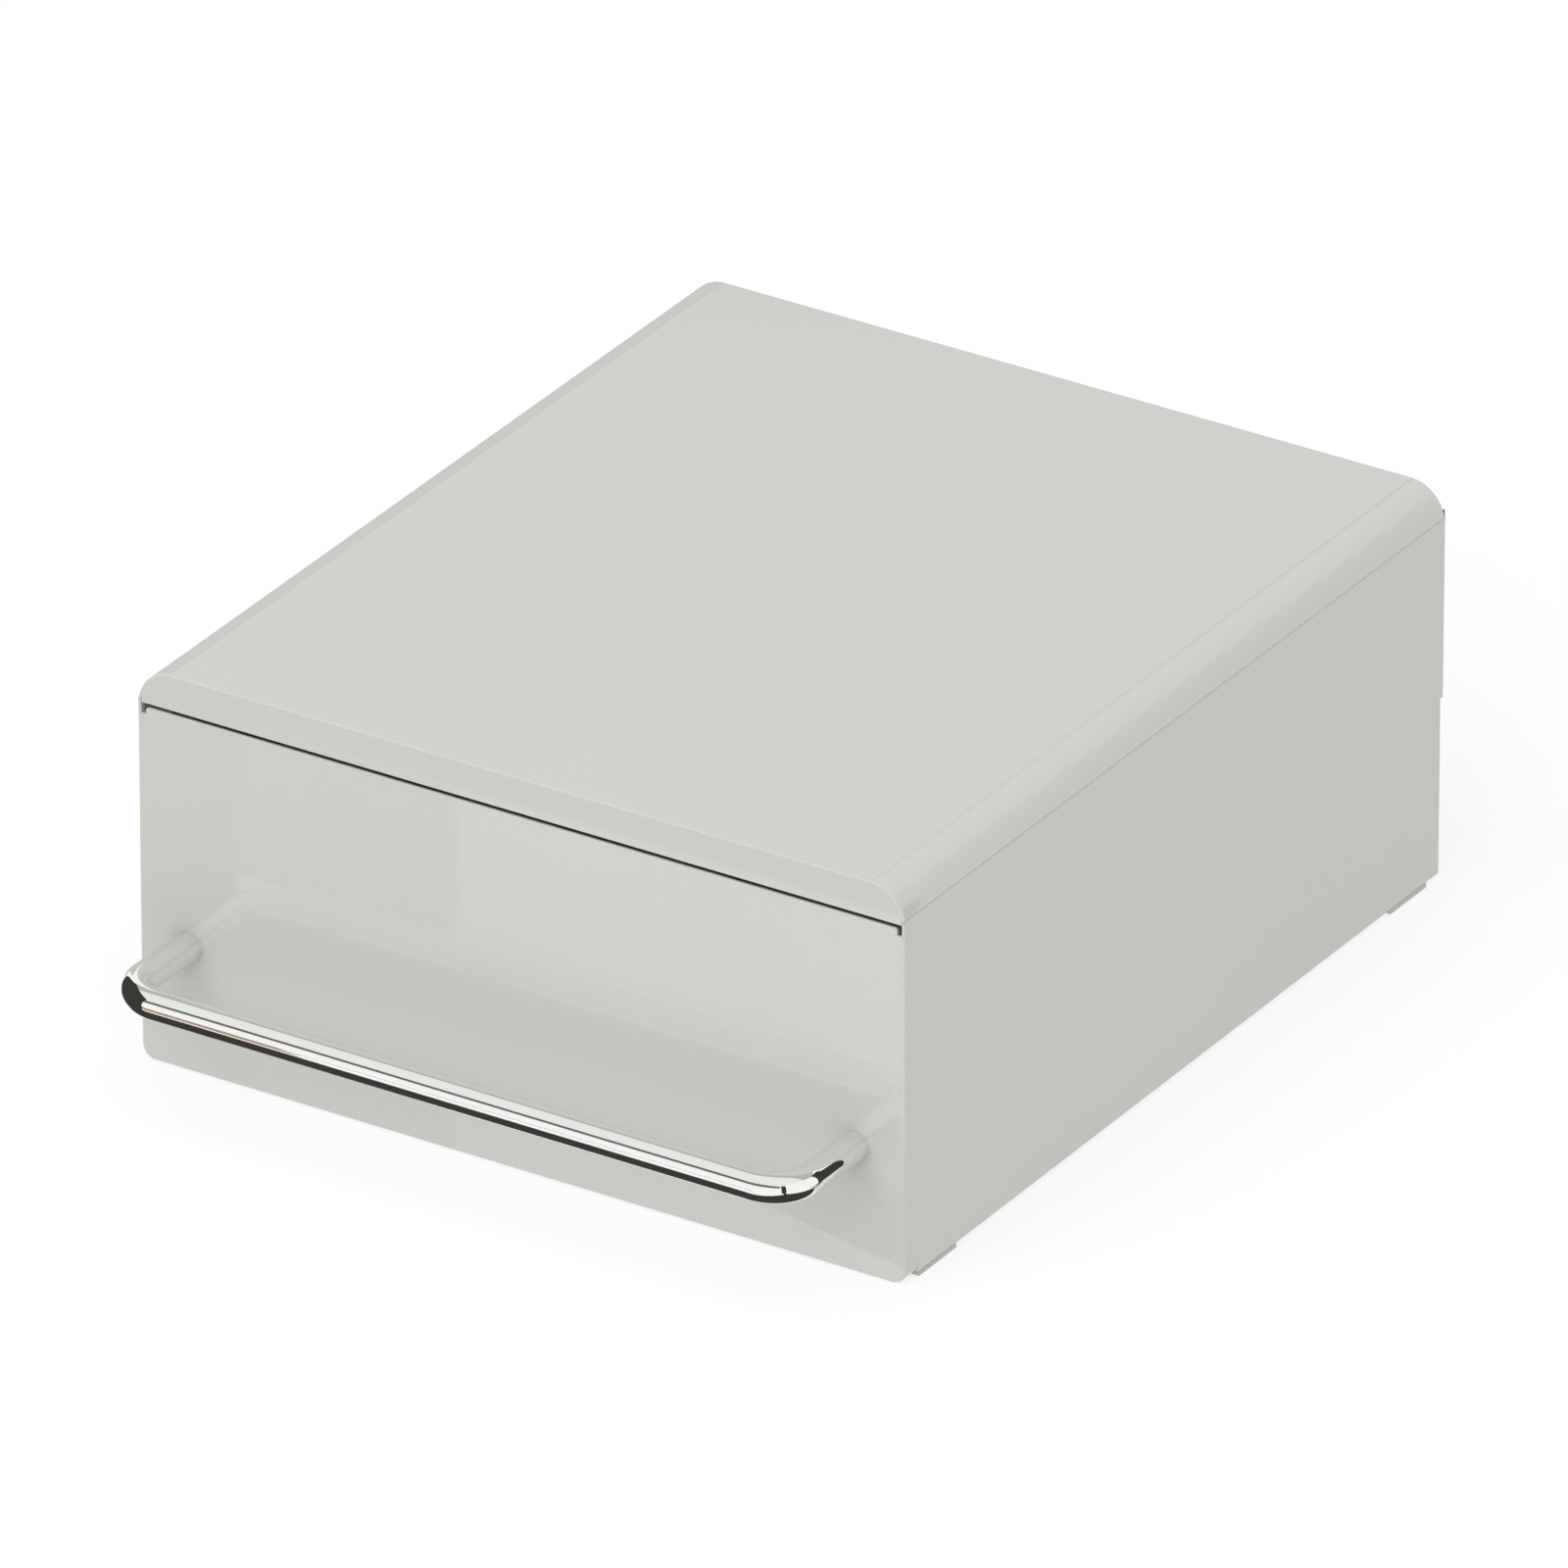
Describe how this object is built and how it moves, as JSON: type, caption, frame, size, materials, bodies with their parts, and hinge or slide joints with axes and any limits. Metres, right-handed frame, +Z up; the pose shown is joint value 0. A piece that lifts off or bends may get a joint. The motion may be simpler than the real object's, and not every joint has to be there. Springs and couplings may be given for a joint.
{
  "type": "stackable drawer box",
  "caption": "Low rectangular storage box with round top shoulders, flat top for stacking, and one full-width pull-out drawer with a glossy front and a bent rod handle.",
  "frame": {"origin": "on the floor, in the middle of the box's whole outline with the handle: x on the middle plane, y halfway between the front of the handle and the rear edge, z at the bottom of the feet", "axes": "+X to the right as seen from the front, +Y from the drawer front to the back, +Z up; the drawer opens along -Y"},
  "size_m": [0.22, 0.2854, 0.1085],
  "materials": {
    "shell": "warm light grey moulded plastic, satin gloss",
    "front": "warm light grey moulded plastic, polished gloss",
    "inner": "warm light grey moulded plastic, fine matt grain",
    "runner": "off-white slippery plastic, matt",
    "foot": "soft warm grey elastomer, matt",
    "handle": "bright chrome plate",
    "zinc": "bright zinc-plated steel"
  },
  "bodies": {
    "casing": {"top_cover": "shell", "side_panel_left": "shell", "side_panel_right": "shell", "back_panel": "shell", "base_panel": "inner", "runner_left": "runner", "runner_right": "runner", "foot_front_left": "foot", "foot_front_right": "foot", "foot_rear_left": "foot", "foot_rear_right": "foot", "buffer_left": "foot", "buffer_right": "foot", "top_cover_screws": "zinc", "back_panel_screws": "zinc"},
    "drawer": {"drawer_tub": "inner", "drawer_front": "front", "drawer_front_screws": "zinc", "handle_bar": "handle", "handle_washers": "zinc", "handle_screws": "zinc"}
  },
  "joints": [
    {"name": "drawer_slide", "type": "slide", "parent": "casing", "child": "drawer", "axis": [0, -1, 0], "range_m": [0, 0.19]}
  ]
}
